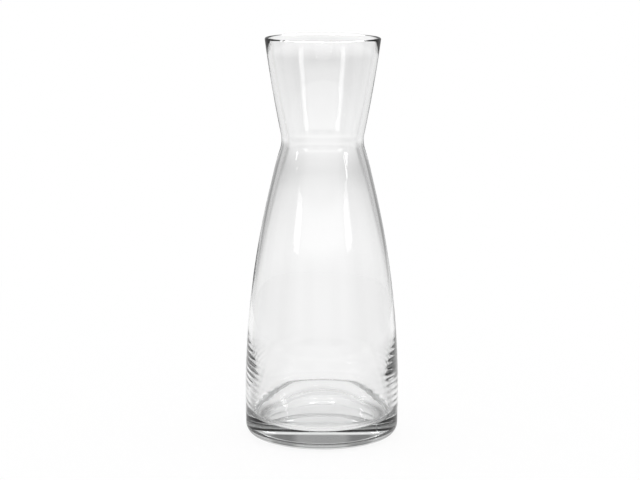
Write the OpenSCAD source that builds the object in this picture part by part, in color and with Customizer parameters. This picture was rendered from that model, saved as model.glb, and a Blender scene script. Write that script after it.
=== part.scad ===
// Water carafe, blown in one piece from clear glass.
// The outside and the inside are both turned about the Z axis from arcs that run smoothly into each
// other: heel, side, waist and neck outside, and neck, waist, side, foot, corner and floor inside.
// The part stands on z = 0, with the Z axis up its middle.

/* [Body] */
// Height from the table to the top of the rim
height = 272; // [262:1:285]
// Outer radius of the widest circle, low on the body
body_radius = 52.5; // [49:0.1:57]
// Height of the widest circle outside
body_widest_height = 27.7; // [22:0.1:45]

/* [Waist] */
// Outer radius of the waist, the narrowest circle
waist_radius = 27.7; // [24:0.1:32]
// Height of the waist
waist_height = 203.1; // [192:0.1:212]
// Outer radius of the hollow curve at the waist
waist_curve_radius = 20.8; // [12:0.1:30]

/* [Neck and rim] */
// Outer radius of the rim
rim_radius = 38.9; // [36:0.1:43]
// Radius of the slight outward bow of the neck
neck_bow_radius = 940; // [400:10:2000]

/* [Thickness of the glass] */
// Wall at the rim, which is rounded over
rim_wall = 2.3; // [1.8:0.1:3.2]
// Wall at the waist
waist_wall = 3.2; // [2.4:0.1:4.2]
// Wall at the widest circle, before the foot's thickening
body_wall = 2.4; // [1.8:0.1:3.2]
// Height of the middle of the floor inside, its lowest point
floor_height = 15.8; // [14:0.1:18]

/* [Inside of the foot] */
// Height at which the wall starts to thicken towards the foot
foot_curve_top = 75; // [68:1:85]
// Height below which the thick wall of the foot is upright
foot_curve_bottom = 33; // [28:1:38]
// Radius of the two opposite curves along which the wall thickens
foot_curve_radius = 130; // [110:5:180]
// Radius of the rounded corner between the wall and the floor
floor_corner_radius = 3.5; // [2.5:0.1:5]
// How far the edge of the shallow dished floor lies above its middle
floor_dish_depth = 0.4; // [0.2:0.1:2]

/* [Base] */
// Radius of the rounded heel, where the side turns into the base
heel_radius = 8; // [6:0.1:11]
// Width of the flat ring that the carafe stands on
standing_ring_width = 4; // [3:0.1:7]
// Depth of the shallow hollow inside the standing ring
base_hollow_depth = 1; // [0.5:0.1:2]

/* [Hidden] */

// Steps along each arc of the outline, and around the axis
long_arc_steps = 28;
short_arc_steps = 10;
turn_steps = 180;

// Direction of the line from one point to another, in degrees
function bearing(from, to) = atan2(to[1] - from[1], to[0] - from[0]);

// Points along an arc of the outline, which is drawn as [radius, height]
function arc(centre, radius, from, to, steps) = [
    for (i = [0 : steps])
        let (angle = from + (to - from) * i / steps)
        centre + radius * [cos(angle), sin(angle)]
];

// The point that is one distance from a first point and another from a second, on the axis side of both
function axis_side_crossing(first, first_distance, second, second_distance) =
    let (
        apart = norm(second - first),
        along = (first_distance ^ 2 - second_distance ^ 2 + apart ^ 2) / (2 * apart),
        aside = sqrt(first_distance ^ 2 - along ^ 2),
        way = (second - first) / apart
    )
    first + along * way + aside * [way[1], -way[0]];

// Radius of the side's arc, which is upright at the widest circle and runs into the waist curve
function side_radius(widest, waist, curve) =
    let (
        across = waist[0] + curve - widest[0],
        up = waist[1] - widest[1]
    )
    (across ^ 2 + up ^ 2 - curve ^ 2) / (2 * (widest[0] - waist[0]));

// Centre of an arc that rests in the side's arc from within, at a given height
function nested_centre(side_centre, side_arc_radius, radius, centre_height) =
    [side_centre[0] + sqrt((side_arc_radius - radius) ^ 2 - (centre_height - side_centre[1]) ^ 2), centre_height];

// The rim is a half round bead between the outer and the inner wall
bead_radius = rim_wall / 2;
bead_centre = [rim_radius - bead_radius, height - bead_radius];

// Outside: widest point, waist point and the centres of the arcs
widest = [body_radius, body_widest_height];
waist = [waist_radius, waist_height];
waist_centre = waist + [waist_curve_radius, 0];
outer_side_radius = side_radius(widest, waist, waist_curve_radius);
outer_side_centre = widest - [outer_side_radius, 0];
outer_neck_centre = axis_side_crossing(
    bead_centre, neck_bow_radius - bead_radius, waist_centre, neck_bow_radius + waist_curve_radius);
heel_centre = nested_centre(outer_side_centre, outer_side_radius, heel_radius, heel_radius);

// Inside: the same arcs, set in by the glass
inside_widest = widest - [body_wall, 0];
inside_waist = [waist_radius - waist_wall, waist_height];
inside_waist_curve = waist_curve_radius + waist_wall;
inside_bow_radius = neck_bow_radius - rim_wall;
inner_side_radius = side_radius(inside_widest, inside_waist, inside_waist_curve);
inner_side_centre = inside_widest - [inner_side_radius, 0];
inner_neck_centre = axis_side_crossing(
    bead_centre, inside_bow_radius + bead_radius, waist_centre, inside_bow_radius + inside_waist_curve);

// Foot inside: the wall thickens along a curve and its opposite, and stands upright below them
foot_lift = asin((foot_curve_top - body_widest_height) / inner_side_radius);
foot_centre = inner_side_centre + (inner_side_radius - foot_curve_radius) * [cos(foot_lift), sin(foot_lift)];
foot_lean = asin((foot_curve_bottom - foot_centre[1]) / (2 * foot_curve_radius));
opposite_centre = foot_centre + 2 * foot_curve_radius * [cos(foot_lean), sin(foot_lean)];
foot_inside_radius = opposite_centre[0] - foot_curve_radius;

// Floor inside: a rounded corner leads from the upright wall into a shallow dish
corner_over_floor = floor_dish_depth + floor_corner_radius;
corner_centre = [foot_inside_radius - floor_corner_radius, floor_height + corner_over_floor];
dish_radius = (corner_centre[0] ^ 2 + corner_over_floor ^ 2 - floor_corner_radius ^ 2) / (2 * floor_dish_depth);
dish_centre = [0, floor_height + dish_radius];

// Base: a flat standing ring round a shallow domed hollow
hollow_edge = heel_centre[0] - standing_ring_width;
hollow_dome_radius = (hollow_edge ^ 2 + base_hollow_depth ^ 2) / (2 * base_hollow_depth);
hollow_dome_centre = [0, base_hollow_depth - hollow_dome_radius];

base_points = arc(
    hollow_dome_centre, hollow_dome_radius, 90, bearing(hollow_dome_centre, [hollow_edge, 0]), short_arc_steps);

outer_points = concat(
    arc(heel_centre, heel_radius, -90, bearing(outer_side_centre, heel_centre), short_arc_steps),
    arc(outer_side_centre, outer_side_radius, bearing(outer_side_centre, heel_centre),
        bearing(outer_side_centre, waist_centre), long_arc_steps),
    arc(waist_centre, waist_curve_radius, bearing(outer_side_centre, waist_centre) + 180,
        bearing(outer_neck_centre, waist_centre) + 180, short_arc_steps),
    arc(outer_neck_centre, neck_bow_radius, bearing(outer_neck_centre, waist_centre),
        bearing(outer_neck_centre, bead_centre), short_arc_steps)
);

bead_points = arc(
    bead_centre, bead_radius, bearing(outer_neck_centre, bead_centre),
    bearing(inner_neck_centre, bead_centre) + 180, short_arc_steps);

inner_points = concat(
    arc(inner_neck_centre, inside_bow_radius, bearing(inner_neck_centre, bead_centre),
        bearing(inner_neck_centre, waist_centre), short_arc_steps),
    arc(waist_centre, inside_waist_curve, bearing(inner_neck_centre, waist_centre) + 180,
        bearing(inner_side_centre, waist_centre) + 180, short_arc_steps),
    arc(inner_side_centre, inner_side_radius, bearing(inner_side_centre, waist_centre), foot_lift, long_arc_steps),
    arc(foot_centre, foot_curve_radius, foot_lift, foot_lean, short_arc_steps),
    arc(opposite_centre, foot_curve_radius, foot_lean + 180, 180, short_arc_steps),
    arc(corner_centre, floor_corner_radius, 0, bearing(dish_centre, corner_centre), short_arc_steps),
    arc(dish_centre, dish_radius, bearing(dish_centre, corner_centre), -90, short_arc_steps)
);

// Leaves out a point that lies on the one before it, as where two arcs meet
function without_repeats(points) = [
    for (i = [0 : len(points) - 1])
        if (i == 0 || norm(points[i] - points[i - 1]) > bead_radius / 1000)
            points[i]
];

// The whole vessel: foot, body, waist, neck and rim are one wall of glass
module carafe_glass() {
    color("gainsboro", 0.4)
        rotate_extrude($fn = turn_steps)
            polygon(without_repeats(concat(base_points, outer_points, bead_points, inner_points)));
}

carafe_glass();
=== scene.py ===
import math

import bpy
import numpy as np
from bpy.props import FloatProperty, IntProperty, PointerProperty, StringProperty
from bpy.types import NodeSocket, Operator, Panel, PropertyGroup
from mathutils import Matrix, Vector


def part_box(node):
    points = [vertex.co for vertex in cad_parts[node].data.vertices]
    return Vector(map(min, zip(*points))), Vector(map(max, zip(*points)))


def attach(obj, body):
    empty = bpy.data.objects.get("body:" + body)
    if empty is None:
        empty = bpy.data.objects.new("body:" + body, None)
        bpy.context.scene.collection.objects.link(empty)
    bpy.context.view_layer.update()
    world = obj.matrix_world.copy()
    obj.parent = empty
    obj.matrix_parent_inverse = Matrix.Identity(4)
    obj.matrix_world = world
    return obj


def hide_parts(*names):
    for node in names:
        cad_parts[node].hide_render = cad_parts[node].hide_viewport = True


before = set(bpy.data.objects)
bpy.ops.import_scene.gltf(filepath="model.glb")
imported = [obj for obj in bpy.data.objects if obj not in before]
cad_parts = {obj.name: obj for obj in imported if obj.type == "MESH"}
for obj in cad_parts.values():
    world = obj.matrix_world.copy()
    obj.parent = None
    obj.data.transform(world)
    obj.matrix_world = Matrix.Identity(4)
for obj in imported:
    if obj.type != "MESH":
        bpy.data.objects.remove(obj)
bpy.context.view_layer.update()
CAD_NODE = "carafe_glass"

# The highest corner of the part's box: half its width, half its depth, and its height
GLASS_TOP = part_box(CAD_NODE)[1]

bl_info = {
    "name": "Water Carafe",
    "version": (1, 0, 0),
    "blender": (4, 5, 0),
    "location": "3D View > Sidebar > Carafe",
    "description": "Makes a clear blown glass water carafe and the white studio it stands in",
    "category": "Add Mesh",
}

MM = 0.001
UP = math.pi / 2
HALF_TURN = math.pi
FULL_TURN = 2 * math.pi


def length(name, description, millimetres):
    """A size in the sidebar: typed here in millimetres and held in metres."""
    return FloatProperty(
        name=name, description=description, default=millimetres * MM, unit="LENGTH", precision=5)


def level(name, description, value):
    """A plain number in the sidebar, such as a brightness, where 1 is white."""
    return FloatProperty(
        name=name, description=description, default=value, min=0.0, subtype="FACTOR", soft_max=1.0)


def turn(name, description, degrees):
    """An angle in the sidebar: typed here in degrees and held in radians."""
    return FloatProperty(
        name=name, description=description, default=math.radians(degrees), subtype="ANGLE")


class CarafeSizes(PropertyGroup):
    """The carafe's outline: height and width from the frame, and the rest as in the part.

    Only the floor's corner is rounder than in the part.
    """

    height: length("Height", "From the table to the top of the rim", GLASS_TOP.z / MM)
    body_radius: length("Body radius", "Outer radius of the widest circle", GLASS_TOP.x / MM)
    body_widest_height: length("Widest height", "Height of the widest circle", 27.7)
    waist_radius: length("Waist radius", "Outer radius of the narrowest circle", 27.7)
    waist_height: length("Waist height", "Height of the narrowest circle", 203.1)
    waist_curve_radius: length("Waist curve", "Outer radius of the hollow curve at the waist", 20.8)
    rim_radius: length("Rim radius", "Outer radius of the rim", 38.9)
    neck_bow_radius: length("Neck bow", "Radius of the neck's slight outward bow", 940)
    rim_wall: length("Rim wall", "Thickness of the rounded rim", 2.3)
    waist_wall: length("Waist wall", "Thickness at the waist", 3.2)
    body_wall: length("Body wall", "Thickness at the widest circle, without the foot's thickening", 2.4)
    foot_curve_top: length("Foot top", "Height at which the wall starts to thicken", 75)
    foot_curve_bottom: length("Foot bottom", "Height below which the thick wall is upright", 33)
    foot_curve_radius: length("Foot curves", "Radius of the two curves along which the wall thickens", 130)
    floor_height: length("Floor height", "Height of the lowest point of the floor inside, its middle", 15.8)
    floor_dish_depth: length("Floor dish", "How far the floor's corner lies above its middle", 0.4)
    floor_corner_radius: length("Floor corner", "Radius of the corner between wall and floor", 5)
    heel_radius: length("Heel", "Radius of the rounded heel", 8)
    standing_ring_width: length("Standing ring", "Width of the ring that the carafe stands on", 4)
    base_hollow_depth: length("Base hollow", "Depth of the hollow inside the standing ring", 1)


class GlassFinish(PropertyGroup):
    """What the blowing and cooling leave in the glass, and its faint grey."""

    ripple_depth: length("Ripple depth", "Depth of the ripple that winds up the inside of the foot", 0.12)
    ripple_pitch: length("Ripple pitch", "Height from one ripple to the next", 4.2)
    ripple_starts: IntProperty(
        name="Ripple starts", description="Threads of the winding ripple", default=6, min=0)
    swell_depth: length("Swell depth", "Slow change of the wall round the carafe", 0.12)
    floor_swell_depth: length("Floor swell", "Slow waves of the floor inside", 0.15)
    floor_lean: length("Floor lean", "How much higher the floor's back edge is than its middle", 3.8)
    shoulder_crest: length("Shoulder crest", "Height of the faint crest under the waist", 0.3)
    knurl_depth: length("Knurl depth", "Depth of the grooves across the standing ring", 0.1)
    knurls: IntProperty(name="Knurls", description="Grooves round the standing ring", default=90, min=0)
    tint: StringProperty(
        name="Tint", description="Colour that light takes on in the glass, as sRGB hex", default="C1C4C3")
    tint_density: FloatProperty(
        name="Tint density", description="How fast the glass takes light, per metre", default=5.5, min=0.0)


class StudioLight(PropertyGroup):
    """The white room as the glass shows it, part by part, and the camera."""

    gap_level: level("Gap level", "Brightness of the gaps between the white panels", 0.5)
    horizon_level: level("Horizon level", "Brightness of the backdrop at the horizon", 0.67)
    backdrop_level: level("Backdrop level", "Brightness of the backdrop well above the horizon", 0.38)
    ceiling_level: level("Ceiling level", "Brightness high up, over the backdrop", 1.0)
    table_level: level("Table level", "Brightness of the table behind and in front of the carafe", 0.94)
    side_table_level: level("Side table level", "Brightness of the table to the left and right", 0.5)
    window_level: level("Window level", "Brightness of the window behind the camera", 1.3)
    mirrored_level: level("Mirrored level", "Brightness of the dim room that the glass mirrors", 0.3)
    glow_level: level("Glow level", "Brightness of the soft glow mirrored from the front", 0.6)
    overhead_level: level("Overhead level", "Brightness of the ring lamp overhead, which is mirrored", 25.0)
    floor_shadow: level("Floor shadow", "Share of the floor's white that a shadow can take", 0.12)
    floor_radius: FloatProperty(
        name="Floor radius", description="Radius of the table", default=0.6, unit="LENGTH")
    camera_distance: FloatProperty(
        name="Camera distance", description="From the axis of the carafe", default=1.3, unit="LENGTH")
    camera_height: FloatProperty(
        name="Camera height", description="Above the table", default=0.3644, unit="LENGTH", precision=4)
    camera_pitch: turn("Camera pitch", "How far the camera looks down", 10.029)
    camera_roll: turn("Camera roll", "How far the camera leans", 0.183)


def srgb(code):
    """Turns an sRGB hex colour into the linear red, green and blue that shaders take."""
    parts = np.array([int(code[start:start + 2], 16) / 255 for start in (0, 2, 4)])
    linear = np.where(parts <= 0.04045, parts / 12.92, ((parts + 0.055) / 1.055) ** 2.4)
    return (*linear.tolist(), 1.0)


def add_node(tree, kind, inputs=None, **options):
    """Adds one node: options are its settings, and an input is a value or the socket that feeds it."""
    node = tree.nodes.new(kind)
    for name, value in options.items():
        setattr(node, name, value)
    for name, value in (inputs or {}).items():
        if isinstance(value, NodeSocket):
            tree.links.new(value, node.inputs[name])
        else:
            node.inputs[name].default_value = value
    return node


def between(edges):
    """Where a change starts and ends, as the inputs of the node that maps it."""
    return {"From Min": edges[0], "From Max": edges[1]}


def new_material(name):
    """An empty node material."""
    material = bpy.data.materials.new(name)
    material.use_nodes = True
    material.node_tree.nodes.clear()
    return material


# Outline

# Steps along each stretch of the outline
HOLLOW_STEPS = 10
RING_STEPS = 4
HEEL_STEPS = 10
SIDE_STEPS = 30
WAIST_STEPS = 12
NECK_STEPS = 6
BEAD_STEPS = 6
INNER_SIDE_STEPS = 15
FOOT_STEPS = 24
UPRIGHT_POINTS = 12
CORNER_STEPS = 10
DISH_STEPS = 18

# Points of the outline that lie closer than this are one
SAME_POINT = 0.0001 * MM


def arc(centre, radius, start, end, steps):
    """Points of an arc: the centre plus radius times the cosine and sine of evenly stepped angles."""
    angle = np.linspace(start, end, steps + 1)
    return centre + radius * np.stack([np.cos(angle), np.sin(angle)], axis=1)


def bearing(start, end):
    """Direction of the line from one outline point to another."""
    return math.atan2(end[1] - start[1], end[0] - start[0])


def side_radius(widest, waist, curve):
    """Radius of the arc that is upright at the widest circle and runs smoothly into the waist curve."""
    across = waist[0] + curve - widest[0]
    rise = waist[1] - widest[1]
    return (across**2 + rise**2 - curve**2) / (2 * (widest[0] - waist[0]))


def axis_side_crossing(first, first_distance, second, second_distance):
    """The point at one distance from each of two points, on the axis side of the line between them."""
    apart = math.dist(first, second)
    along = (first_distance**2 - second_distance**2 + apart**2) / (2 * apart)
    aside = math.sqrt(first_distance**2 - along**2)
    way = (second - first) / apart
    return first + along * way + aside * np.array([way[1], -way[0]])


def nested_centre(outer_centre, outer_radius, radius, height):
    """Centre, at a given height, of an arc that touches a larger arc from within."""
    reach = math.sqrt((outer_radius - radius) ** 2 - (height - outer_centre[1]) ** 2)
    return np.array([outer_centre[0] + reach, height])


def joined(stretches):
    """Stretches of outline as one, without the points where one starts on the end of the last."""
    points = np.concatenate(stretches)
    step = np.hypot(*np.diff(points, axis=0).T)
    return points[np.r_[True, step > SAME_POINT]]


def shared_points(sizes):
    """What both faces of the wall start from: widest circle, waist, and centres of waist curve and rim."""
    bead = sizes.rim_wall / 2
    widest = np.array([sizes.body_radius, sizes.body_widest_height])
    waist = np.array([sizes.waist_radius, sizes.waist_height])
    waist_centre = waist + [sizes.waist_curve_radius, 0]
    bead_centre = np.array([sizes.rim_radius - bead, sizes.height - bead])
    return widest, waist, waist_centre, bead_centre


def outside_outline(sizes):
    """Radius and height from the axis under the base up to the top of the rim.

    The hollow is an arc, the ring is flat, the heel touches the side from within, and the arcs of side,
    waist, neck and rim run smoothly into each other.
    """
    widest, waist, waist_centre, bead_centre = shared_points(sizes)
    bead = sizes.rim_wall / 2
    bow = sizes.neck_bow_radius
    waist_curve = sizes.waist_curve_radius
    side = side_radius(widest, waist, waist_curve)
    side_centre = widest - [side, 0]
    neck_centre = axis_side_crossing(bead_centre, bow - bead, waist_centre, bow + waist_curve)
    heel = sizes.heel_radius
    heel_centre = nested_centre(side_centre, side, heel, heel)
    ring_edge = heel_centre[0] - sizes.standing_ring_width
    ring = np.linspace([ring_edge, 0.0], [heel_centre[0], 0.0], RING_STEPS + 1)
    depth = sizes.base_hollow_depth
    hollow = (ring_edge**2 + depth**2) / (2 * depth)
    hollow_centre = np.array([0.0, depth - hollow])

    to_heel = bearing(side_centre, heel_centre)
    to_waist = bearing(side_centre, waist_centre)
    neck_to_waist = bearing(neck_centre, waist_centre)
    neck_to_bead = bearing(neck_centre, bead_centre)
    points = joined([
        arc(hollow_centre, hollow, UP, bearing(hollow_centre, ring[0]), HOLLOW_STEPS),
        ring,
        arc(heel_centre, heel, -UP, to_heel, HEEL_STEPS),
        arc(side_centre, side, to_heel, to_waist, SIDE_STEPS),
        arc(waist_centre, waist_curve, to_waist + HALF_TURN, neck_to_waist + HALF_TURN, WAIST_STEPS),
        arc(neck_centre, bow, neck_to_waist, neck_to_bead, NECK_STEPS),
        arc(bead_centre, bead, neck_to_bead, UP, BEAD_STEPS),
    ])
    points[0, 0] = 0.0
    return points


def inside_outline(sizes):
    """Radius and height from just inside the top of the rim down to the middle of the floor.

    The neck, waist and side are arcs as outside, set in by their walls. Two arcs of one radius, bent
    opposite ways, thicken the foot. Below them the wall is upright, and a corner leads to the dished floor.
    """
    widest, waist, waist_centre, bead_centre = shared_points(sizes)
    widest = widest - [sizes.body_wall, 0]
    waist = waist - [sizes.waist_wall, 0]
    bead = sizes.rim_wall / 2
    bow = sizes.neck_bow_radius - sizes.rim_wall
    waist_curve = sizes.waist_curve_radius + sizes.waist_wall
    side = side_radius(widest, waist, waist_curve)
    side_centre = widest - [side, 0]
    neck_centre = axis_side_crossing(bead_centre, bow + bead, waist_centre, bow + waist_curve)

    foot = sizes.foot_curve_radius
    foot_lift = math.asin((sizes.foot_curve_top - sizes.body_widest_height) / side)
    foot_centre = side_centre + (side - foot) * np.array([math.cos(foot_lift), math.sin(foot_lift)])
    lean = math.asin((sizes.foot_curve_bottom - foot_centre[1]) / (2 * foot))
    counter_centre = foot_centre + 2 * foot * np.array([math.cos(lean), math.sin(lean)])
    corner = sizes.floor_corner_radius
    corner_lift = sizes.floor_dish_depth + corner
    corner_centre = np.array([counter_centre[0] - foot - corner, sizes.floor_height + corner_lift])
    dish = (corner_centre[0] ** 2 + corner_lift**2 - corner**2) / (2 * sizes.floor_dish_depth)
    dish_centre = np.array([0.0, sizes.floor_height + dish])

    to_waist = bearing(side_centre, waist_centre)
    to_corner = bearing(dish_centre, corner_centre)
    neck_to_waist = bearing(neck_centre, waist_centre)
    neck_to_bead = bearing(neck_centre, bead_centre)
    points = joined([
        arc(bead_centre, bead, UP, neck_to_bead + HALF_TURN, BEAD_STEPS),
        arc(neck_centre, bow, neck_to_bead, neck_to_waist, NECK_STEPS),
        arc(waist_centre, waist_curve, neck_to_waist + HALF_TURN, to_waist + HALF_TURN, WAIST_STEPS),
        arc(side_centre, side, to_waist, foot_lift, INNER_SIDE_STEPS),
        arc(foot_centre, foot, foot_lift, lean, FOOT_STEPS),
        arc(counter_centre, -foot, lean, 0.0, FOOT_STEPS),
        np.linspace(counter_centre - [foot, 0], corner_centre + [corner, 0], UPRIGHT_POINTS),
        arc(corner_centre, corner, 0.0, to_corner, CORNER_STEPS),
        arc(dish_centre, dish, to_corner, -UP, DISH_STEPS),
    ])
    points[-1, 0] = 0.0
    return points[1:]


# Glass

# Steps round the axis, and how high above the table a point of the outside still stands on it
TURN_STEPS = 450
ON_TABLE = 0.01 * MM

# The shoulder's crest: how far under the waist, and half its width
CREST_DROP = 14 * MM
CREST_WIDTH = 8 * MM

# The wall's swell grows over these depths under the rim, and over these shares of the body's radius
SWELL_DEPTHS = (5 * MM, 60 * MM)
SWELL_RADIUS_SHARES = (0.6, 0.8)

# The swell's slow lobes: share of it, how many round the carafe, and their turn from foot to rim
WALL_LOBES = ((0.6, 2, 9.0), (0.4, 3, -14.0))

# The ripple grows over this share of the foot's height, and this power keeps it to the left and right
RIPPLE_GROWTH_SHARE = 0.3
RIPPLE_SIDES_POWER = 8

# The floor's waves, inner and outer: how many round the axis, and where they start
INNER_WAVES = (3, 1.1)
OUTER_WAVES = (5, -0.4)

# How high the outer waves are beside the inner, and where both end, as a share of the body's radius
OUTER_WAVE_SHARE = 0.6
WAVES_END_SHARE = 0.85

# How far the floor's edge lies within the body's radius
FLOOR_EDGE_INSET = 6 * MM

# Soft waves that blowing leaves in the surface: how wide they are, and how deep
UNEVEN_WIDTH = 24 * MM
UNEVEN_DEPTH = 0.05 * MM

# The ground ring: how dull it is up to the first of two heights, and polished above the second
GROUND_ROUGHNESS = 0.35
GROUND_HEIGHTS = (0.1 * MM, 0.3 * MM)

# How strongly soda-lime glass bends light
GLASS_IOR = 1.52


def smooth_share(value, low, high):
    """Nought below low, one above high, and a smooth step between."""
    share = np.clip((value - low) / (high - low), 0.0, 1.0)
    return share**2 * (3 - 2 * share)


def wall_swell(radius, height, angle, sizes, finish):
    """Change of the inner radius: slow lobes round the body, and a ripple that winds up the foot.

    A lobe is a share of the cosine of its count times the angle, turned with the height. The ripple is
    the sine of the height over its pitch plus its starts times the angle, as a helix is.
    """
    fade = smooth_share(sizes.height - height, *SWELL_DEPTHS)
    fade = fade * smooth_share(radius / sizes.body_radius, *SWELL_RADIUS_SHARES)
    lobes = sum(
        share * np.cos(count * angle + twist * height / sizes.height) for share, count, twist in WALL_LOBES)
    winding = np.sin(FULL_TURN * height / finish.ripple_pitch + finish.ripple_starts * angle)
    growth = RIPPLE_GROWTH_SHARE * sizes.foot_curve_top
    in_foot = smooth_share(sizes.foot_curve_top - height, 0.0, growth)
    on_sides = np.cos(angle) ** RIPPLE_SIDES_POWER
    return fade * (finish.swell_depth * lobes + finish.ripple_depth * winding * in_foot * on_sides)


def floor_swell(radius, angle, sizes, finish):
    """Change of the floor's height: cosine waves round the axis, which die out at the axis and the wall."""
    share = np.clip(radius / (WAVES_END_SHARE * sizes.body_radius), 0.0, 1.0)
    inner, outer = (np.cos(count * angle + start) for count, start in (INNER_WAVES, OUTER_WAVES))
    waves = inner * np.sin(HALF_TURN * share) + OUTER_WAVE_SHARE * outer * share**2
    return finish.floor_swell_depth * waves * share * (1 - share**4)


def floor_lean(radius, height, angle, sizes, finish):
    """Lift of the inside: radius times sine of the angle, full at the floor and nought above the foot."""
    foot_height = sizes.foot_curve_top - sizes.floor_height - 2 * sizes.floor_corner_radius
    low_inside = smooth_share(sizes.foot_curve_top - height, 0.0, foot_height)
    slope = finish.floor_lean / (sizes.body_radius - FLOOR_EDGE_INSET)
    return slope * low_inside * radius * np.sin(angle)


def ring_groove(radius, angle, ring_edges, finish):
    """Lift of the standing ring: half a cosine of the angle round it, bowed as a parabola across it."""
    across = (radius - ring_edges.min()) / (ring_edges.max() - ring_edges.min())
    groove = finish.knurl_depth * (1 - np.cos(finish.knurls * angle)) / 2
    return groove * 4 * across * (1 - across)


def turned_glass(sizes, finish):
    """Radius and height of each point of the outline as it is carried round the axis, and its angle.

    The inner wall swells and its foot leans, the floor has its waves, the shoulder has a crest shaped as a
    bell curve, and the standing ring is grooved.
    """
    outside = outside_outline(sizes)
    rows = np.concatenate([outside, inside_outline(sizes)])
    angle = np.linspace(0.0, FULL_TURN, TURN_STEPS, endpoint=False)[None, :]
    radius = np.repeat(rows[:, :1], TURN_STEPS, axis=1)
    height = np.repeat(rows[:, 1:], TURN_STEPS, axis=1)
    inner = (np.arange(len(rows)) >= len(outside))[:, None]
    corner_top = sizes.floor_height + sizes.floor_dish_depth + sizes.floor_corner_radius
    on_floor = inner & (height < corner_top)
    in_ring = ~inner & (height < ON_TABLE)
    ring_edges = rows[rows[:, 1] < ON_TABLE, 0]

    moved_height = height + np.where(in_ring, ring_groove(radius, angle, ring_edges, finish), 0.0)
    moved_height += np.where(on_floor, floor_swell(radius, angle, sizes, finish), 0.0)
    moved_height += np.where(inner, floor_lean(radius, height, angle, sizes, finish), 0.0)
    crest_place = (height - (sizes.waist_height - CREST_DROP)) / CREST_WIDTH
    crest = finish.shoulder_crest * np.exp(-crest_place**2)
    moved_radius = radius + np.where(inner, wall_swell(radius, height, angle, sizes, finish), crest)
    return moved_radius, moved_height, angle


def closed_mesh(name, radius, height, angle):
    """A mesh of the grid's points: radius times cosine and sine of the angle, and height.

    Four-cornered faces join each row to the next, and a fan closes each end, where the first and last
    row are drawn together into one point on the axis.
    """
    low = [[0.0, 0.0, height[0, 0]]]
    high = [[0.0, 0.0, height[-1, 0]]]
    radius = radius[1:-1]
    height = height[1:-1]
    count, around = radius.shape
    grid = np.stack([radius * np.cos(angle), radius * np.sin(angle), height], axis=-1).reshape(-1, 3)
    row = np.arange(count - 1)[:, None] * around
    column = np.arange(around)[None, :]
    after = (column + 1) % around
    corners = [row + column, row + after, row + around + after, row + around + column]
    quads = np.stack(corners, axis=-1).reshape(-1, 4)
    ring = column[0]
    following = after[0]
    low_index = np.full(around, count * around)
    last = (count - 1) * around
    fans = np.concatenate([
        np.stack([low_index, following, ring], axis=-1),
        np.stack([low_index + 1, last + ring, last + following], axis=-1),
    ])
    mesh = bpy.data.meshes.new(name)
    mesh.from_pydata(np.concatenate([grid, low, high]).tolist(), [], quads.tolist() + fans.tolist())
    mesh.polygons.foreach_set("use_smooth", np.ones(len(mesh.polygons), dtype=bool))
    mesh.update()
    return mesh


def blown_soda_lime_glass(finish):
    """Blown soda-lime glass, fire polished: clear and mirror smooth, with a ground ring that it stands on.

    To the eye it is bright where light passes straight, dark along the edges where it bends away, and
    faintly grey where the glass is thick. Its surface has soft waves, far less deep than the wall is
    thick, and only the standing ring is dull.
    """
    material = new_material("blown_soda_lime_glass")
    tree = material.node_tree
    place = add_node(tree, "ShaderNodeTexCoord")
    uneven = add_node(tree, "ShaderNodeTexNoise", {
        "Vector": place.outputs["Object"], "Scale": 1 / UNEVEN_WIDTH, "Detail": 1.0, "Roughness": 0.4})
    bump = add_node(tree, "ShaderNodeBump", {
        "Height": uneven.outputs["Fac"], "Strength": 1.0, "Distance": UNEVEN_DEPTH})
    parts = add_node(tree, "ShaderNodeSeparateXYZ", {"Vector": place.outputs["Object"]})
    dull = add_node(tree, "ShaderNodeMapRange", {
        "Value": parts.outputs["Z"], **between(GROUND_HEIGHTS), "To Min": GROUND_ROUGHNESS, "To Max": 0.0})
    glass = add_node(tree, "ShaderNodeBsdfPrincipled", {
        "Base Color": srgb("FFFFFF"), "Roughness": dull.outputs["Result"], "IOR": GLASS_IOR,
        "Transmission Weight": 1.0, "Normal": bump.outputs["Normal"]})
    grey = add_node(tree, "ShaderNodeVolumeAbsorption", {
        "Color": srgb(finish.tint), "Density": finish.tint_density})
    add_node(tree, "ShaderNodeOutputMaterial", {"Surface": glass.outputs[0], "Volume": grey.outputs[0]})
    return material


class CARAFE_OT_glass(Operator):
    """Make the carafe: one closed wall of glass from the standing ring to the rim and down to the floor"""

    bl_idname = "carafe.glass"
    bl_label = "Carafe Glass"

    def execute(self, context):
        sizes = context.scene.carafe_sizes
        finish = context.scene.carafe_finish
        mesh = closed_mesh("carafe_blown_glass", *turned_glass(sizes, finish))
        glass = bpy.data.objects.new("carafe_blown_glass", mesh)
        context.scene.collection.objects.link(glass)
        mesh.materials.append(blown_soda_lime_glass(finish))
        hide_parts(CAD_NODE)
        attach(glass, "root")
        return {"FINISHED"}


# Studio

# The photograph's frame and the lens, in its pixels
FRAME_WIDTH = 640
LENS_PIXELS = 1940.3
CENTRE_PIXEL = 322.25
SENSOR_MM = 36.0
NEAREST_SEEN = 10 * MM

# Soft lamps: bearing and height seen from the carafe, half width, half height and lean in degrees, and level
LAMPS = {
    "shoulder_lamp_left": (-101, 22.5, 7, 2.2, -10, 9.0),
    "shoulder_lamp_right": (104, 23.2, 12, 1.7, 10, 9.0),
    "neck_lamp_left": (128, 12, 5.5, 4, 0, 2.2),
    "neck_lamp_right": (-131, 12, 5.5, 4, 0, 2.2),
}
LAMP_DISTANCE = 2.0
LAMP_AIM_HEIGHT = 0.15

# The table top: points round its edge, and how far it lies under the standing ring
TABLE_STEPS = 128
TABLE_DROP = 0.2 * MM

# The places that follow are parts of a direction from the carafe, one long: its rise is up, and its way
# back is from the camera. A pair is where a change starts and where it ends.

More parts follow.
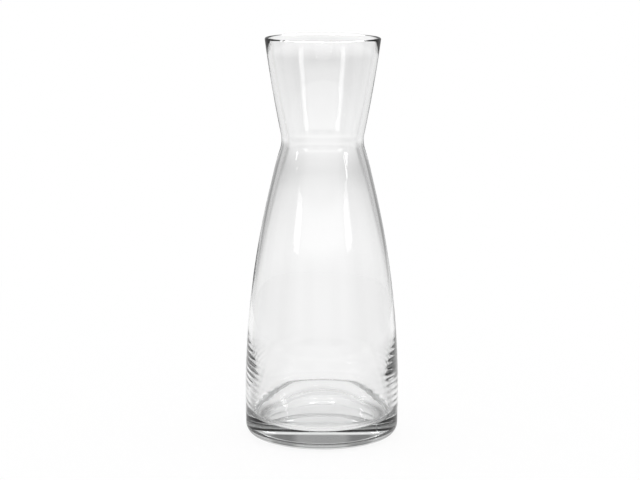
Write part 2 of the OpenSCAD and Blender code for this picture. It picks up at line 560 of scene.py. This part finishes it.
# The table is shaded this far to the side, and gives way to the backdrop at this rise
TABLE_SIDES = (0.7, 0.95)
TABLE_EDGE = (-0.165, -0.195)

# White panels round the carafe, with gaps where the cosine of their turn is low, which fade near the table
PANELS = 8
GAP_COSINES = (-0.8, 0.0)
GAP_FOOT = (-0.15, -0.09)

# The backdrop greys up to the horizon, greys more above it, and ends at the ceiling
BACKDROP_FOOT = (-0.17, -0.05)
BACKDROP_TOP = (0.1, 0.22)
CEILING_EDGE = (0.32, 0.45)

# The window behind the camera, and the soft glow there: way back, middle rise, and distance from it
WINDOW = ((-0.5, -0.85), 0.235, (0.1, 0.03))
GLOW = ((-0.45, -0.95), 0.1, (0.5, 0.05))
MIRRORED_WINDOW_SHARE = 0.55

# The ring lamp overhead, and its open middle
OVERHEAD_EDGE = (0.62, 0.72)
OVERHEAD_MIDDLE = (0.93, 0.86)

# How often light may be refracted and mirrored on its way through the glass
REFRACTED_TURNS = 64
MIRRORED_TURNS = 8


def side_shade(tree, way, studio):
    """The table's level in a direction from the carafe: white ahead and behind, shaded at the sides, which on
    the table top is painted shade.
    """
    parts = add_node(tree, "ShaderNodeSeparateXYZ", {"Vector": way})
    sideways = add_node(tree, "ShaderNodeMath", {0: parts.outputs["X"]}, operation="ABSOLUTE")
    return add_node(tree, "ShaderNodeMapRange", {
        "Value": sideways.outputs[0], **between(TABLE_SIDES),
        "To Min": studio.table_level, "To Max": studio.side_table_level}, interpolation_type="SMOOTHSTEP")


def seen_in_glass(tree, path):
    """One for light that the glass refracts or mirrors, and nought for all other."""
    return add_node(tree, "ShaderNodeMath", {
        0: path.outputs["Is Glossy Ray"], 1: path.outputs["Is Transmission Ray"]}, operation="MAXIMUM")


def white_table(studio):
    """White laminate table top: matt and white to the camera, and with painted shade at the sides of its glow
    as the glass shows it.

    Most of the white is its own, so that a white background stays white, and the rest is lit, so that
    the carafe leaves its faint shadow.
    """
    material = new_material("white_laminate")
    tree = material.node_tree
    path = add_node(tree, "ShaderNodeLightPath")
    in_glass = seen_in_glass(tree, path)
    seen = add_node(tree, "ShaderNodeMath", {
        0: in_glass.outputs[0], 1: path.outputs["Is Camera Ray"]}, operation="MAXIMUM")
    share = add_node(tree, "ShaderNodeMath", {
        0: seen.outputs[0], 1: 1 - studio.floor_shadow}, operation="MULTIPLY")
    place = add_node(tree, "ShaderNodeTexCoord")
    way = add_node(tree, "ShaderNodeVectorMath", {0: place.outputs["Object"]}, operation="NORMALIZE")
    # Painted shade: the table's glow is dimmed to the left and right where the glass sees it
    shade = side_shade(tree, way.outputs["Vector"], studio)
    brightness = add_node(tree, "ShaderNodeMix", {
        "Factor": in_glass.outputs[0], "A": 1.0, "B": shade.outputs[0]}, data_type="FLOAT")
    lit = add_node(tree, "ShaderNodeBsdfDiffuse", {"Color": srgb("FFFFFF")})
    white = add_node(tree, "ShaderNodeEmission", {"Color": srgb("FFFFFF"), "Strength": brightness.outputs[0]})
    mix = add_node(tree, "ShaderNodeMixShader", {0: share.outputs[0], 1: lit.outputs[0], 2: white.outputs[0]})
    add_node(tree, "ShaderNodeOutputMaterial", {"Surface": mix.outputs[0]})
    return material


def patch_behind_camera(tree, way, back, middle, edge):
    """Share of a bright patch on the camera's side: full far back and near its middle rise."""
    behind = add_node(tree, "ShaderNodeMapRange", {
        "Value": way.outputs["Y"], **between(back)}, interpolation_type="SMOOTHSTEP")
    above = add_node(tree, "ShaderNodeMath", {0: way.outputs["Z"], 1: middle}, operation="SUBTRACT")
    apart = add_node(tree, "ShaderNodeMath", {0: above.outputs[0]}, operation="ABSOLUTE")
    near = add_node(tree, "ShaderNodeMapRange", {
        "Value": apart.outputs[0], **between(edge)}, interpolation_type="SMOOTHSTEP")
    return add_node(tree, "ShaderNodeMath", {0: behind.outputs[0], 1: near.outputs[0]}, operation="MULTIPLY")


def refracted_room(tree, direction, way, window, studio):
    """What shows through the glass: table, backdrop with panels and gaps, ceiling and window."""
    turned = add_node(tree, "ShaderNodeMath", {
        0: way.outputs["X"], 1: way.outputs["Y"]}, operation="ARCTAN2")
    panel_turn = add_node(tree, "ShaderNodeMath", {0: turned.outputs[0], 1: PANELS}, operation="MULTIPLY")
    wave = add_node(tree, "ShaderNodeMath", {0: panel_turn.outputs[0]}, operation="COSINE")
    panels = add_node(tree, "ShaderNodeMapRange", {
        "Value": wave.outputs[0], **between(GAP_COSINES),
        "To Min": studio.gap_level, "To Max": 1.0}, interpolation_type="SMOOTHSTEP")
    off_table = add_node(tree, "ShaderNodeMapRange", {
        "Value": way.outputs["Z"], **between(GAP_FOOT)}, interpolation_type="SMOOTHSTEP")
    panels = add_node(tree, "ShaderNodeMix", {
        "Factor": off_table.outputs[0], "A": 1.0, "B": panels.outputs[0]}, data_type="FLOAT")

    backdrop = add_node(tree, "ShaderNodeMapRange", {
        "Value": way.outputs["Z"], **between(BACKDROP_FOOT),
        "To Min": 1.0, "To Max": studio.horizon_level}, interpolation_type="SMOOTHSTEP")
    above = add_node(tree, "ShaderNodeMapRange", {
        "Value": way.outputs["Z"], **between(BACKDROP_TOP)}, interpolation_type="SMOOTHSTEP")
    backdrop = add_node(tree, "ShaderNodeMix", {
        "Factor": above.outputs[0], "A": backdrop.outputs[0], "B": studio.backdrop_level}, data_type="FLOAT")
    room = add_node(tree, "ShaderNodeMath", {
        0: panels.outputs[0], 1: backdrop.outputs[0]}, operation="MULTIPLY")

    table = side_shade(tree, direction, studio)
    low = add_node(tree, "ShaderNodeMapRange", {
        "Value": way.outputs["Z"], **between(TABLE_EDGE)}, interpolation_type="SMOOTHSTEP")
    room = add_node(tree, "ShaderNodeMix", {
        "Factor": low.outputs[0], "A": room.outputs[0], "B": table.outputs[0]}, data_type="FLOAT")
    high = add_node(tree, "ShaderNodeMapRange", {
        "Value": way.outputs["Z"], **between(CEILING_EDGE)}, interpolation_type="SMOOTHSTEP")
    room = add_node(tree, "ShaderNodeMix", {
        "Factor": high.outputs[0], "A": room.outputs[0], "B": studio.ceiling_level}, data_type="FLOAT")
    return add_node(tree, "ShaderNodeMix", {
        "Factor": window.outputs[0], "A": room.outputs[0], "B": studio.window_level}, data_type="FLOAT")


def mirrored_room(tree, way, window, studio):
    """What the glass mirrors: a dim room with a glow, the window, and a ring lamp overhead."""
    glow = patch_behind_camera(tree, way, *GLOW)
    room = add_node(tree, "ShaderNodeMix", {
        "Factor": glow.outputs[0], "A": studio.mirrored_level, "B": studio.glow_level}, data_type="FLOAT")
    room = add_node(tree, "ShaderNodeMix", {
        "Factor": window.outputs[0], "A": room.outputs[0],
        "B": MIRRORED_WINDOW_SHARE * studio.window_level}, data_type="FLOAT")
    high = add_node(tree, "ShaderNodeMapRange", {
        "Value": way.outputs["Z"], **between(OVERHEAD_EDGE)}, interpolation_type="SMOOTHSTEP")
    outer = add_node(tree, "ShaderNodeMapRange", {
        "Value": way.outputs["Z"], **between(OVERHEAD_MIDDLE)}, interpolation_type="SMOOTHSTEP")
    ring = add_node(tree, "ShaderNodeMath", {0: high.outputs[0], 1: outer.outputs[0]}, operation="MULTIPLY")
    return add_node(tree, "ShaderNodeMix", {
        "Factor": ring.outputs[0], "A": room.outputs[0], "B": studio.overhead_level}, data_type="FLOAT")


def white_studio_world(studio):
    """White studio: plain white to the camera and to matt things, and a room of its own in the glass."""
    world = bpy.data.worlds.new("white_studio")
    world.use_nodes = True
    tree = world.node_tree
    tree.nodes.clear()
    path = add_node(tree, "ShaderNodeLightPath")
    direction = add_node(tree, "ShaderNodeTexCoord").outputs["Generated"]
    way = add_node(tree, "ShaderNodeSeparateXYZ", {"Vector": direction})
    window = patch_behind_camera(tree, way, *WINDOW)
    refracted = refracted_room(tree, direction, way, window, studio)
    mirrored = mirrored_room(tree, way, window, studio)
    room = add_node(tree, "ShaderNodeMix", {
        "Factor": path.outputs["Is Transmission Ray"],
        "A": mirrored.outputs[0], "B": refracted.outputs[0]}, data_type="FLOAT")
    in_glass = seen_in_glass(tree, path)
    brightness = add_node(tree, "ShaderNodeMix", {
        "Factor": in_glass.outputs[0], "A": 1.0, "B": room.outputs[0]}, data_type="FLOAT")
    white = add_node(tree, "ShaderNodeBackground", {
        "Color": srgb("FFFFFF"), "Strength": brightness.outputs[0]})
    add_node(tree, "ShaderNodeOutputWorld", {"Surface": white.outputs[0]})
    return world


def add_floor(collection, studio):
    """Round table top just under the standing ring: a disc of points at one radius round the axis."""
    angle = np.linspace(0.0, FULL_TURN, TABLE_STEPS, endpoint=False)
    across = studio.floor_radius * np.cos(angle)
    back = studio.floor_radius * np.sin(angle)
    rim = np.stack([across, back, np.full(TABLE_STEPS, -TABLE_DROP)], axis=1)
    mesh = bpy.data.meshes.new("table_top")
    mesh.from_pydata(rim.tolist(), [], [list(range(TABLE_STEPS))])
    mesh.materials.append(white_table(studio))
    floor = bpy.data.objects.new("table_top", mesh)
    collection.objects.link(floor)


def add_lamp(collection, name, around, lift, half_width, half_height, lean, strength):
    """A soft rectangular lamp, placed by its direction from the carafe, as strong as its level asks."""
    width = 2 * LAMP_DISTANCE * math.tan(math.radians(half_width))
    tall = 2 * LAMP_DISTANCE * math.tan(math.radians(half_height))
    data = bpy.data.lights.new(name, "AREA")
    data.shape = "RECTANGLE"
    data.size = width
    data.size_y = tall
    data.energy = strength * math.pi * width * tall
    lamp = bpy.data.objects.new(name, data)
    aim = Matrix.Rotation(-math.radians(around), 4, "Z") @ Matrix.Rotation(math.radians(lift), 4, "X")
    placed = aim @ Matrix.Translation((0.0, LAMP_DISTANCE, 0.0))
    placed = placed @ Matrix.Rotation(math.radians(lean), 4, "Y") @ Matrix.Rotation(-UP, 4, "X")
    lamp.matrix_world = Matrix.Translation((0.0, 0.0, LAMP_AIM_HEIGHT)) @ placed
    lamp.visible_camera = False
    lamp.visible_diffuse = False
    collection.objects.link(lamp)


def add_camera(scene, studio):
    """The photograph's camera: at its distance and height, pitched down and slightly rolled."""
    data = bpy.data.cameras.new("camera")
    data.sensor_width = SENSOR_MM
    data.lens = LENS_PIXELS * SENSOR_MM / FRAME_WIDTH
    data.shift_x = (FRAME_WIDTH / 2 - CENTRE_PIXEL) / FRAME_WIDTH
    data.clip_start = NEAREST_SEEN
    camera = bpy.data.objects.new("camera", data)
    scene.collection.objects.link(camera)
    aim = Matrix.Rotation(UP - studio.camera_pitch, 4, "X") @ Matrix.Rotation(studio.camera_roll, 4, "Z")
    place = Matrix.Translation((0.0, -studio.camera_distance, studio.camera_height))
    camera.matrix_world = place @ aim
    scene.camera = camera


def let_light_turn(cycles):
    """Lets light turn often enough to find its way out of the thick foot, which would be black otherwise."""
    cycles.max_bounces = REFRACTED_TURNS
    cycles.transmission_bounces = REFRACTED_TURNS
    cycles.glossy_bounces = MIRRORED_TURNS


class CARAFE_OT_stage(Operator):
    """Make the studio: the white table, the white room with its lamps, and the camera"""

    bl_idname = "carafe.stage"
    bl_label = "White Studio"

    def execute(self, context):
        scene = context.scene
        studio = scene.carafe_studio
        add_floor(scene.collection, studio)
        scene.world = white_studio_world(studio)
        for name, values in LAMPS.items():
            add_lamp(scene.collection, name, *values)
        add_camera(scene, studio)
        let_light_turn(scene.cycles)
        scene.view_settings.view_transform = "Standard"
        return {"FINISHED"}


class CARAFE_PT_sidebar(Panel):
    """Lists the carafe's sizes, its glass and the studio, with a button for each"""

    bl_label = "Water Carafe"
    bl_idname = "CARAFE_PT_sidebar"
    bl_space_type = "VIEW_3D"
    bl_region_type = "UI"
    bl_category = "Carafe"

    def draw(self, context):
        for operator, groups in SIDEBAR.items():
            for group in groups:
                values = getattr(context.scene, group)
                for name in values.__annotations__:
                    self.layout.prop(values, name)
            self.layout.operator(operator)


SIDEBAR = {
    CARAFE_OT_glass.bl_idname: ("carafe_sizes", "carafe_finish"),
    CARAFE_OT_stage.bl_idname: ("carafe_studio",),
}
GROUPS = {"carafe_sizes": CarafeSizes, "carafe_finish": GlassFinish, "carafe_studio": StudioLight}
CLASSES = (*GROUPS.values(), CARAFE_OT_glass, CARAFE_OT_stage, CARAFE_PT_sidebar)


def register():
    """Makes the classes known to Blender, and gives each scene its groups of sizes and levels."""
    for entry in CLASSES:
        bpy.utils.register_class(entry)
    for name, group in GROUPS.items():
        setattr(bpy.types.Scene, name, PointerProperty(type=group))


def unregister():
    """Takes back what register did."""
    for name in GROUPS:
        delattr(bpy.types.Scene, name)
    for entry in reversed(CLASSES):
        bpy.utils.unregister_class(entry)


def main():
    register()
    bpy.ops.carafe.glass()
    bpy.ops.carafe.stage()


if __name__ == "__main__":
    main()
